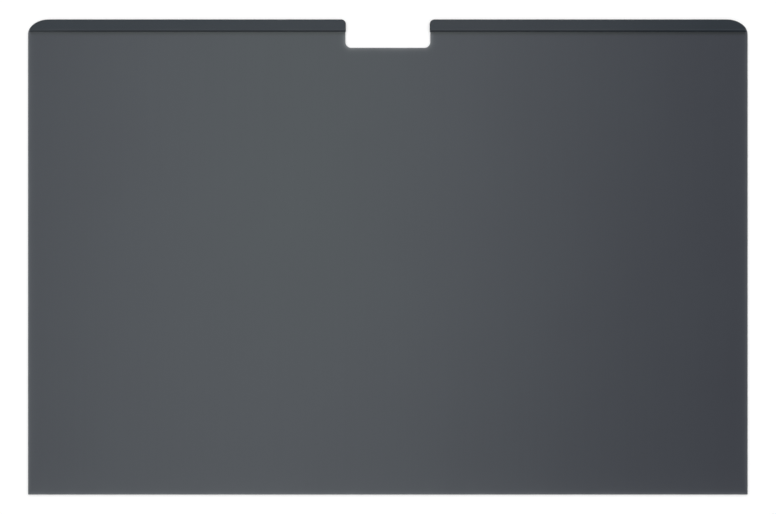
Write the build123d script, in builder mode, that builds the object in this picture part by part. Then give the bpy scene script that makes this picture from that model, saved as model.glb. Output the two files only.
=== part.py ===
import os

from build123d import *

# Laptop privacy filter: a stiff sheet of dark louvre film with a camera notch in its
# top edge, and a flexible magnet strip bonded on each side of the notch.
# Millimetres. The sheet lies flat: +X along its width, +Y towards the notched edge,
# +Z up out of the face that carries the strips. The origin is at the middle of the
# back face, which lies against the screen.

# ---- film panel ----
panel_width = 306.0
panel_height = 202.0
panel_thickness = 0.5
panel_edge_radius = 0.1     # the cut edge is rolled a little on both faces
top_corner_run = 8.8        # length of the corner curve along the top edge
top_corner_drop = 6.35      # length of the corner curve down the side
bottom_corner_radius = 0.3  # die-cut corner, almost square

# ---- camera notch ----
notch_width = 36.1
notch_depth = 12.05
notch_floor_radius = 2.5    # the two inner corners at the notch's floor
notch_mouth_radius = 2.0    # the two corners where the notch meets the top edge

# ---- magnet strips ----
strip_height = 5.3          # from the top edge down the panel
strip_thickness = 0.55
strip_end_inset = 0.5       # the outer end stays this far inside the panel's side
strip_overhang = 0.2        # the inner end stands this far past the notch's wall
strip_mouth_radius = 2.0    # the upper corner beside the notch
strip_edge_radius = 0.42    # rolled edge round the strip's face
strip_shoulder_run = 0.75   # pressed shoulder along the lower edge, measured up the strip
strip_shoulder_drop = 0.45  # how far that shoulder falls below the strip's face
strip_shoulder_bulge = 0.05 # rise of the shoulder's section over its chord

# ---- derived ----
half_width = panel_width / 2
top_y = panel_height / 2
bottom_y = -panel_height / 2
notch_half = notch_width / 2
notch_floor_y = top_y - notch_depth
corner_centre_x = half_width - top_corner_run
corner_centre_y = top_y - top_corner_drop
strip_low_y = top_y - strip_height
trim_y = strip_low_y - 3
strip_inner_x = notch_half - strip_overhang
strip_corner_run = top_corner_run - strip_end_inset
strip_top_z = panel_thickness + strip_thickness
shoulder_chord = (strip_shoulder_run**2 + strip_shoulder_drop**2) ** 0.5
shoulder_foot = (strip_low_y, strip_top_z - strip_shoulder_drop)
shoulder_crest = (strip_low_y + strip_shoulder_run, strip_top_z)
shoulder_middle = (
    strip_low_y + strip_shoulder_run / 2
    - strip_shoulder_bulge * strip_shoulder_drop / shoulder_chord,
    strip_top_z - strip_shoulder_drop / 2
    + strip_shoulder_bulge * strip_shoulder_run / shoulder_chord,
)

os.makedirs("parts", exist_ok=True)


# The film: half of the outline is drawn from the notch's floor round to the middle of
# the bottom edge, then mirrored.
with BuildPart() as privacy_panel:
    with BuildSketch(Plane.XY) as panel_outline:
        with BuildLine() as half_outline:
            Line((0, notch_floor_y), (notch_half - notch_floor_radius, notch_floor_y))
            CenterArc(
                (notch_half - notch_floor_radius, notch_floor_y + notch_floor_radius),
                notch_floor_radius, -90, 90,
            )
            Line(
                (notch_half, notch_floor_y + notch_floor_radius),
                (notch_half, top_y - notch_mouth_radius),
            )
            CenterArc(
                (notch_half + notch_mouth_radius, top_y - notch_mouth_radius),
                notch_mouth_radius, 90, 90,
            )
            Line((notch_half + notch_mouth_radius, top_y), (corner_centre_x, top_y))
            EllipticalCenterArc(
                (corner_centre_x, corner_centre_y),
                top_corner_run, top_corner_drop, 0, arc_size=90,
            )
            Line((half_width, corner_centre_y), (half_width, bottom_y + bottom_corner_radius))
            CenterArc(
                (half_width - bottom_corner_radius, bottom_y + bottom_corner_radius),
                bottom_corner_radius, -90, 90,
            )
            Line((half_width - bottom_corner_radius, bottom_y), (0, bottom_y))
            mirror(about=Plane.YZ)
        make_face()
    extrude(amount=panel_thickness)
    rims = privacy_panel.edges().filter_by(Axis.Z, reverse=True)
    fillet(rims, radius=panel_edge_radius)
privacy_panel.part.label = "privacy_panel"

# The right strip: its plan is flush with the top edge, follows the panel's corner curve
# a little inside it, and is drawn longer than the strip, down to trim_y. Its face has a
# rolled edge at the top and at both ends.
with BuildPart() as magnet_strip_right:
    with BuildSketch(Plane.XY.offset(panel_thickness)) as strip_plan:
        with BuildLine():
            Line((strip_inner_x + strip_mouth_radius, top_y), (corner_centre_x, top_y))
            EllipticalCenterArc(
                (corner_centre_x, corner_centre_y),
                strip_corner_run, top_corner_drop, 0, arc_size=90,
            )
            Polyline(
                (corner_centre_x + strip_corner_run, corner_centre_y),
                (corner_centre_x + strip_corner_run, trim_y),
                (strip_inner_x, trim_y),
                (strip_inner_x, top_y - strip_mouth_radius),
            )
            CenterArc(
                (strip_inner_x + strip_mouth_radius, top_y - strip_mouth_radius),
                strip_mouth_radius, 90, 90,
            )
        make_face()
    extrude(amount=strip_thickness)
    face_edges = magnet_strip_right.faces().sort_by(Axis.Z)[-1].edges()
    fillet(face_edges.sort_by(Axis.Y)[1:], radius=strip_edge_radius)
    # the lower edge is trimmed straight, and the face falls to it in a pressed shoulder
    with BuildSketch(Plane.YZ) as lower_trim:
        with BuildLine():
            ThreePointArc(shoulder_foot, shoulder_middle, shoulder_crest)
            Polyline(
                shoulder_crest,
                (shoulder_crest[0], strip_top_z + 1),
                (trim_y - 1, strip_top_z + 1),
                (trim_y - 1, panel_thickness - 1),
                (strip_low_y, panel_thickness - 1),
                shoulder_foot,
            )
        make_face()
    extrude(amount=panel_width, mode=Mode.SUBTRACT)
magnet_strip_right.part.label = "magnet_strip_right"

# The left strip is the right one mirrored.
with BuildPart() as magnet_strip_left:
    mirror(magnet_strip_right.part, about=Plane.YZ)
magnet_strip_left.part.label = "magnet_strip_left"

export_step(privacy_panel.part, "parts/privacy_panel.step")
export_step(magnet_strip_left.part, "parts/magnet_strip_left.step")
export_step(magnet_strip_right.part, "parts/magnet_strip_right.step")
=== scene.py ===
import math

import bpy
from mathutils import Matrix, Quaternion, Vector


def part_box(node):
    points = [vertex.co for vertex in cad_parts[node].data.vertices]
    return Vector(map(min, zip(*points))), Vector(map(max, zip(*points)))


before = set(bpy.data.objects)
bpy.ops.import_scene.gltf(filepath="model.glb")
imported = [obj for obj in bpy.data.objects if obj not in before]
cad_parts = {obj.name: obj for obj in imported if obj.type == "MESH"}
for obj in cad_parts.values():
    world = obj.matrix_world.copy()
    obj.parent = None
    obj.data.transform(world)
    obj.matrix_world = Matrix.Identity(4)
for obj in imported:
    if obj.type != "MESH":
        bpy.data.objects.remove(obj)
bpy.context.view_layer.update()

scene = bpy.context.scene
scene.view_settings.view_transform = "Standard"
scene.view_settings.look = "None"

# Metres, from the CAD's own boxes.
panel_lo, panel_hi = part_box("privacy_panel")
strip_lo, strip_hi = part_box("magnet_strip_right")
HALF_W = panel_hi.x
TOP_Y = panel_hi.y
BOTTOM_Y = panel_lo.y
NOTCH_HALF = 0.01805
NOTCH_FLOOR = TOP_Y - 0.01205
NOTCH_R = 0.0025
CORNER_RUN, CORNER_DROP = 0.0088, 0.00635


# ---------------------------------------------------------------- node helpers
class Tree:
    def __init__(self, name):
        self.mat = bpy.data.materials.new(name)
        self.mat.use_nodes = True
        self.nt = self.mat.node_tree
        self.nt.nodes.clear()
        self.out = self.nt.nodes.new("ShaderNodeOutputMaterial")

    def node(self, kind, **props):
        n = self.nt.nodes.new(kind)
        for k, v in props.items():
            setattr(n, k, v)
        return n

    def put(self, value, socket):
        if isinstance(value, bpy.types.NodeSocket):
            self.nt.links.new(value, socket)
        else:
            socket.default_value = value

    def math(self, op, a, b=None, c=None, clamp=False):
        n = self.node("ShaderNodeMath", operation=op, use_clamp=clamp)
        for i, v in enumerate((a, b, c)):
            if v is not None:
                self.put(v, n.inputs[i])
        return n.outputs[0]

    def noise(self, vector, scale, detail=2.0, rough=0.5):
        n = self.node("ShaderNodeTexNoise", noise_dimensions="3D")
        self.put(vector, n.inputs["Vector"])
        n.inputs["Scale"].default_value = scale
        n.inputs["Detail"].default_value = detail
        n.inputs["Roughness"].default_value = rough
        return n.outputs["Fac"]

    def stretch(self, vector, sx, sy, sz):
        n = self.node("ShaderNodeMapping")
        self.put(vector, n.inputs["Vector"])
        n.inputs["Scale"].default_value = (sx, sy, sz)
        return n.outputs["Vector"]

    def remap(self, value, lo, hi, to_lo, to_hi, ease="LINEAR"):
        n = self.node("ShaderNodeMapRange", clamp=True, interpolation_type=ease)
        self.put(value, n.inputs["Value"])
        for name, v in (("From Min", lo), ("From Max", hi), ("To Min", to_lo), ("To Max", to_hi)):
            n.inputs[name].default_value = v
        return n.outputs["Result"]

    def mix(self, fac, a, b):
        n = self.node("ShaderNodeMix", data_type="RGBA", blend_type="MIX")
        self.put(fac, n.inputs[0])
        for v, s in ((a, n.inputs[6]), (b, n.inputs[7])):
            self.put(v if isinstance(v, bpy.types.NodeSocket) else (*v, 1.0), s)
        return n.outputs[2]

    def gain(self, colour, factor):
        n = self.node("ShaderNodeVectorMath", operation="SCALE")
        self.put(colour, n.inputs[0])
        self.put(factor, n.inputs["Scale"])
        return n.outputs["Vector"]


# ---------------------------------------------------------------- louvre film
def film_material():
    t = Tree("louvre_film")
    where = t.node("ShaderNodeTexCoord").outputs["Object"]
    xyz = t.node("ShaderNodeSeparateXYZ")
    t.put(where, xyz.inputs[0])
    ax = t.math("ABSOLUTE", xyz.outputs["X"])
    y = xyz.outputs["Y"]

    # distance in from the cut edge: sides, bottom, rounded notch and top corners
    side = t.math("SUBTRACT", HALF_W, ax)
    bottom = t.math("SUBTRACT", y, BOTTOM_Y)
    qx = t.math("MAXIMUM", t.math("SUBTRACT", ax, NOTCH_HALF - NOTCH_R), 0.0)
    qy = t.math("MAXIMUM", t.math("SUBTRACT", NOTCH_FLOOR + NOTCH_R, y), 0.0)
    notch = t.math("SUBTRACT", t.math("SQRT", t.math("ADD", t.math("MULTIPLY", qx, qx), t.math("MULTIPLY", qy, qy))), NOTCH_R)
    ex = t.math("MAXIMUM", t.math("DIVIDE", t.math("SUBTRACT", ax, HALF_W - CORNER_RUN), CORNER_RUN), 0.0)
    ey = t.math("MAXIMUM", t.math("DIVIDE", t.math("SUBTRACT", y, TOP_Y - CORNER_DROP), CORNER_DROP), 0.0)
    er = t.math("SQRT", t.math("ADD", t.math("MULTIPLY", ex, ex), t.math("MULTIPLY", ey, ey)))
    corner = t.math("MULTIPLY", t.math("SUBTRACT", 1.0, er), (CORNER_RUN + CORNER_DROP) / 2)

    def fade(distance, reach):
        return t.math("EXPONENT", t.math("DIVIDE", t.math("MAXIMUM", distance, 0.0), -reach))

    # painted edge light, a paler border standing in for light leaking in at the cut edge: strongest round the notch,
    # weaker on the right side, with a long faint tail at the bottom
    right = t.remap(xyz.outputs["X"], -0.001, 0.001, 0.0, 1.0)
    near_left = t.math("MULTIPLY", fade(side, 0.00048), t.remap(right, 0.0, 1.0, 0.62, 0.0))
    near_right = t.math("MULTIPLY", fade(side, 0.001), t.remap(right, 0.0, 1.0, 0.0, 0.17))
    near_bottom = t.math("ADD", t.math("MULTIPLY", fade(bottom, 0.00055), 0.4), t.math("MULTIPLY", fade(bottom, 0.006), 0.05))
    near_notch = t.math("MULTIPLY", fade(notch, 0.0007), 0.64)
    near_corner = t.math("MULTIPLY", fade(corner, 0.0006), 0.35)
    painted_edge_light = t.math("MAXIMUM", t.math("MAXIMUM", near_left, near_right), t.math("MAXIMUM", near_bottom, t.math("MAXIMUM", near_notch, near_corner)))

    # the louvres run up the sheet, so the tone has faint upright streaks under a faint mottle
    streak = t.noise(t.stretch(where, 900.0, 9.0, 1.0), 1.0, 3.0, 0.6)
    mottle = t.noise(where, 22.0, 2.0, 0.5)
    grain = t.noise(where, 5200.0, 1.0, 0.5)
    tone = t.math("ADD", t.remap(streak, 0.25, 0.75, 0.97, 1.03), t.remap(mottle, 0.3, 0.7, -0.03, 0.03))
    tone = t.math("ADD", tone, t.remap(grain, 0.3, 0.7, -0.02, 0.02))
    # the tone turns from violet grey to a greener grey towards the top, a little left of the middle
    drift = t.math("ABSOLUTE", t.math("ADD", xyz.outputs["X"], 0.038))
    drift = t.math("MULTIPLY", t.remap(drift, 0.0, 0.08, 1.0, 0.0, "SMOOTHSTEP"), t.remap(y, -0.08, 0.02, 0.0, 1.0, "SMOOTHSTEP"))
    drift = t.math("ADD", t.math("MULTIPLY", drift, 0.75), t.remap(mottle, 0.3, 0.7, 0.0, 0.25))
    body = t.gain(t.mix(drift, (0.0271, 0.0287, 0.0408), (0.0255, 0.0296, 0.0383)), tone)

    # painted edge light: a narrow paler border, uneven along its length, painted for light that enters at the cut edge
    patchy = t.remap(t.noise(where, 90.0, 2.0, 0.5), 0.3, 0.7, 0.64, 0.92)
    colour = t.mix(t.math("MULTIPLY", painted_edge_light, patchy), body, (0.26, 0.27, 0.285))

    # painted shadow: the film is darker along the foot of each strip, where the strip shades it
    below = t.math("SUBTRACT", strip_lo.y, y)
    painted_strip_shadow = t.math("MULTIPLY", t.remap(below, 0.0005, 0.0017, 0.68, 0.0), t.remap(ax, strip_lo.x, strip_lo.x + 0.0006, 0.0, 1.0))
    painted_strip_shadow = t.math("MULTIPLY", painted_strip_shadow, t.remap(ax, strip_hi.x - 0.0006, strip_hi.x, 1.0, 0.0))
    painted_strip_shadow = t.math("MULTIPLY", painted_strip_shadow, t.remap(xyz.outputs["X"], -0.146, -0.128, 0.6, 1.0))
    colour = t.gain(colour, t.math("SUBTRACT", 1.0, painted_strip_shadow))

    # the cut faces are rougher, and show the laminate: clear cover films over the dark louvre core
    normal = t.node("ShaderNodeSeparateXYZ")
    t.put(t.node("ShaderNodeNewGeometry").outputs["True Normal"], normal.inputs[0])
    wall = t.remap(t.math("ABSOLUTE", normal.outputs["Z"]), 0.3, 0.7, 1.0, 0.0)
    depth = t.math("ABSOLUTE", t.math("SUBTRACT", xyz.outputs["Z"], panel_hi.z / 2))
    cover = t.remap(depth, 0.00011, 0.00014, 0.0, 1.0)
    colour = t.mix(wall, colour, t.mix(cover, (0.05, 0.053, 0.058), (0.16, 0.168, 0.178)))

    p = t.node("ShaderNodeBsdfPrincipled")
    t.put(colour, p.inputs["Base Color"])
    t.put(t.math("ADD", t.remap(grain, 0.25, 0.75, 0.285, 0.345), t.math("MULTIPLY", wall, 0.2)), p.inputs["Roughness"])
    p.inputs["IOR"].default_value = 1.52
    p.inputs["Specular IOR Level"].default_value = 0.423
    p.inputs["Specular Tint"].default_value = (0.905, 1.0, 0.985, 1.0)
    p.inputs["Alpha"].default_value = 0.9
    bump = t.node("ShaderNodeBump")
    bump.inputs["Strength"].default_value = 0.25
    bump.inputs["Distance"].default_value = 0.000004
    t.put(grain, bump.inputs["Height"])
    t.put(bump.outputs[0], p.inputs["Normal"])
    t.put(p.outputs[0], t.out.inputs["Surface"])
    return t.mat


# ---------------------------------------------------------------- magnet strips
def strip_material():
    t = Tree("magnet_strip")
    where = t.node("ShaderNodeTexCoord").outputs["Object"]
    xyz = t.node("ShaderNodeSeparateXYZ")
    t.put(where, xyz.inputs[0])
    drawn = t.noise(t.stretch(where, 30.0, 1500.0, 1500.0), 1.0, 3.0, 0.6)
    pores = t.noise(where, 3800.0, 2.0, 0.55)
    cloud = t.noise(where, 60.0, 2.0, 0.5)
    tone = t.math("ADD", t.remap(drawn, 0.25, 0.75, 0.85, 1.15), t.remap(cloud, 0.3, 0.7, -0.1, 0.1))
    body = t.gain(t.mix(t.remap(cloud, 0.35, 0.65, 0.0, 1.0), (0.0036, 0.0088, 0.0168), (0.0042, 0.0088, 0.0158)), tone)

    # painted sheen: the facing is a little paler beside the notch, mostly on the right, where the strips' sheen sits
    painted_strip_sheen = t.math("MULTIPLY", t.remap(xyz.outputs["X"], -0.06, 0.03, 0.0, 1.0, "SMOOTHSTEP"), t.remap(xyz.outputs["X"], 0.07, 0.15, 1.0, 0.0, "SMOOTHSTEP"))
    body = t.mix(t.math("MULTIPLY", painted_strip_sheen, 0.2), body, (0.034, 0.035, 0.042))

    # painted highlight, paler along the crest of the lower shoulder
    crest = t.math("ABSOLUTE", t.math("SUBTRACT", xyz.outputs["Y"], strip_lo.y + 0.00093))
    painted_crest_highlight = t.math("MULTIPLY", t.remap(crest, 0.00008, 0.0003, 1.0, 0.0), t.remap(cloud, 0.3, 0.7, 0.35, 1.0))
    colour = t.mix(t.math("MULTIPLY", painted_crest_highlight, 0.22), body, (0.05, 0.054, 0.06))
    # the sides are matte and darker: partly the magnet's own black cut sides, partly painted shade on the rolled edges
    normal = t.node("ShaderNodeSeparateXYZ")
    t.put(t.node("ShaderNodeNewGeometry").outputs["True Normal"], normal.inputs[0])
    flank = t.remap(normal.outputs["Z"], 0.55, 0.85, 1.0, 0.0)
    colour = t.mix(flank, colour, (0.0045, 0.0052, 0.0064))
    shoulder = t.remap(xyz.outputs["Y"], strip_lo.y + 0.00055, strip_lo.y + 0.00075, 1.0, 0.0)
    # painted shade and sheen on the lower shoulder: a dark shaded line on the right, a little paler on the left, where
    # the sheen falls
    painted_shoulder_light = t.mix(t.remap(xyz.outputs["X"], 0.015, 0.12, 0.0, 1.0), (0.0245, 0.0285, 0.034), (0.006, 0.01, 0.0155))
    # and paler again towards the left strip's outer end, where its painted dark line fades out
    painted_shoulder_light = t.mix(t.remap(xyz.outputs["X"], -0.146, -0.128, 1.0, 0.0), painted_shoulder_light, (0.036, 0.041, 0.047))
    colour = t.mix(t.math("MULTIPLY", shoulder, 0.8), colour, painted_shoulder_light)

    p = t.node("ShaderNodeBsdfPrincipled")
    t.put(colour, p.inputs["Base Color"])
    satin = t.math("ADD", t.remap(pores, 0.3, 0.7, 0.36, 0.44), t.remap(drawn, 0.3, 0.7, -0.03, 0.03))
    t.put(t.math("ADD", satin, t.math("MULTIPLY", flank, 0.15)), p.inputs["Roughness"])
    p.inputs["IOR"].default_value = 1.5
    p.inputs["Specular IOR Level"].default_value = 0.36
    p.inputs["Specular Tint"].default_value = (0.93, 0.99, 1.0, 1.0)
    bump = t.node("ShaderNodeBump")
    bump.inputs["Strength"].default_value = 0.35
    bump.inputs["Distance"].default_value = 0.00001
    t.put(pores, bump.inputs["Height"])
    t.put(bump.outputs[0], p.inputs["Normal"])
    t.put(p.outputs[0], t.out.inputs["Surface"])
    return t.mat


def floor_material():
    t = Tree("floor")
    where = t.node("ShaderNodeTexCoord").outputs["Object"]
    soft = t.noise(where, 3.0, 2.0, 0.5)
    p = t.node("ShaderNodeBsdfPrincipled")
    t.put(t.mix(t.remap(soft, 0.3, 0.7, 0.0, 1.0), (0.945, 0.945, 0.945), (0.955, 0.955, 0.955)), p.inputs["Base Color"])
    p.inputs["Roughness"].default_value = 0.9
    p.inputs["Specular IOR Level"].default_value = 0.0
    # it brightens outwards, so that it meets the studio's walls without a line
    reach = t.node("ShaderNodeVectorMath", operation="LENGTH")
    t.put(where, reach.inputs[0])
    p.inputs["Emission Color"].default_value = (1.0, 1.0, 1.0, 1.0)
    t.put(t.remap(reach.outputs["Value"], 0.35, 2.2, 0.0, 0.24), p.inputs["Emission Strength"])
    t.put(p.outputs[0], t.out.inputs["Surface"])
    return t.mat


def dress(name, mat):
    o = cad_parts[name]
    o.data.materials.clear()
    o.data.materials.append(mat)
    return o


dress("privacy_panel", film_material())
strip_mat = strip_material()
dress("magnet_strip_left", strip_mat)
dress("magnet_strip_right", strip_mat)

# ---------------------------------------------------------------- floor
mesh = bpy.data.meshes.new("floor")
S, DROP = 6.0, -0.00002
mesh.from_pydata([(-S, -S, DROP), (S, -S, DROP), (S, S, DROP), (-S, S, DROP)], [], [(0, 1, 2, 3)])
mesh.materials.append(floor_material())
floor = bpy.data.objects.new("floor", mesh)
scene.collection.objects.link(floor)


# ---------------------------------------------------------------- light
def area(name, loc, target, size_x, size_y, watts, turn=0.0):
    d = bpy.data.lights.new(name, "AREA")
    d.shape = "RECTANGLE"
    d.size, d.size_y = size_x, size_y
    d.energy = watts
    o = bpy.data.objects.new(name, d)
    o.location = loc
    o.rotation_mode = "QUATERNION"
    aim = (Vector(target) - Vector(loc)).to_track_quat("-Z", "Y")
    o.rotation_quaternion = Quaternion((0.0, 0.0, 1.0), math.radians(turn)) @ aim
    o.visible_camera = False
    scene.collection.objects.link(o)
    return o


# a soft box overhead, left of the middle, whose reflection is the sheen on the film, and a
# lower one beyond the notched edge, which leaves the strips' lower shoulders in shade
area("overhead", (-0.128, 0.09, 1.6), (-0.128, 0.09, 0.0), 0.584, 1.2, 6.5, -5.5)
area("key_top", (0.0, 1.5, 1.3), (0.0, 0.0, 0.0), 2.2, 1.0, 7.0)

# a pale studio all round, dimmer overhead and on the side away from the notched edge
world = bpy.data.worlds.new("studio")
world.use_nodes = True
nt = world.node_tree
nt.nodes.clear()
coord = nt.nodes.new("ShaderNodeTexCoord")
sep = nt.nodes.new("ShaderNodeSeparateXYZ")
ramp = nt.nodes.new("ShaderNodeValToRGB")
dim = nt.nodes.new("ShaderNodeMapRange")
bg = nt.nodes.new("ShaderNodeBackground")
wout = nt.nodes.new("ShaderNodeOutputWorld")
nt.links.new(coord.outputs["Generated"], sep.inputs[0])
nt.links.new(sep.outputs["Z"], ramp.inputs[0])
nt.links.new(sep.outputs["Y"], dim.inputs["Value"])
dim.interpolation_type = "SMOOTHSTEP"
for socket, v in (("From Min", -1.0), ("From Max", -0.15), ("To Min", 0.35), ("To Max", 1.0)):
    dim.inputs[socket].default_value = v
nt.links.new(ramp.outputs["Color"], bg.inputs["Color"])
nt.links.new(dim.outputs["Result"], bg.inputs["Strength"])
nt.links.new(bg.outputs[0], wout.inputs["Surface"])
ramp.color_ramp.interpolation = "B_SPLINE"
stops = ((0.0, 1.0), (0.25, 0.95), (0.45, 1.15), (0.68, 1.9), (0.82, 1.3), (0.92, 0.45), (1.0, 0.28))
el = ramp.color_ramp.elements
while len(el) < len(stops):
    el.new(0.5)
for e, (pos, v) in zip(el, stops):
    e.position = pos
    e.color = (v, v, v, 1.0)
scene.world = world

# ---------------------------------------------------------------- camera, straight above
LENS, SENSOR, WIDE_PX = 110.0, 36.0, 776.0
PX_PER_M = 719.65 / 0.306
cam_data = bpy.data.cameras.new("camera")
cam_data.lens = LENS
cam_data.sensor_width = SENSOR
cam_data.sensor_fit = "HORIZONTAL"
cam_data.clip_start, cam_data.clip_end = 0.01, 50.0
cam = bpy.data.objects.new("camera", cam_data)
height = WIDE_PX * LENS / SENSOR / PX_PER_M
cam.location = (0.00008, 0.0, panel_hi.z + height)
cam.rotation_euler = (0.0, 0.0, 0.0)
scene.collection.objects.link(cam)
scene.camera = cam
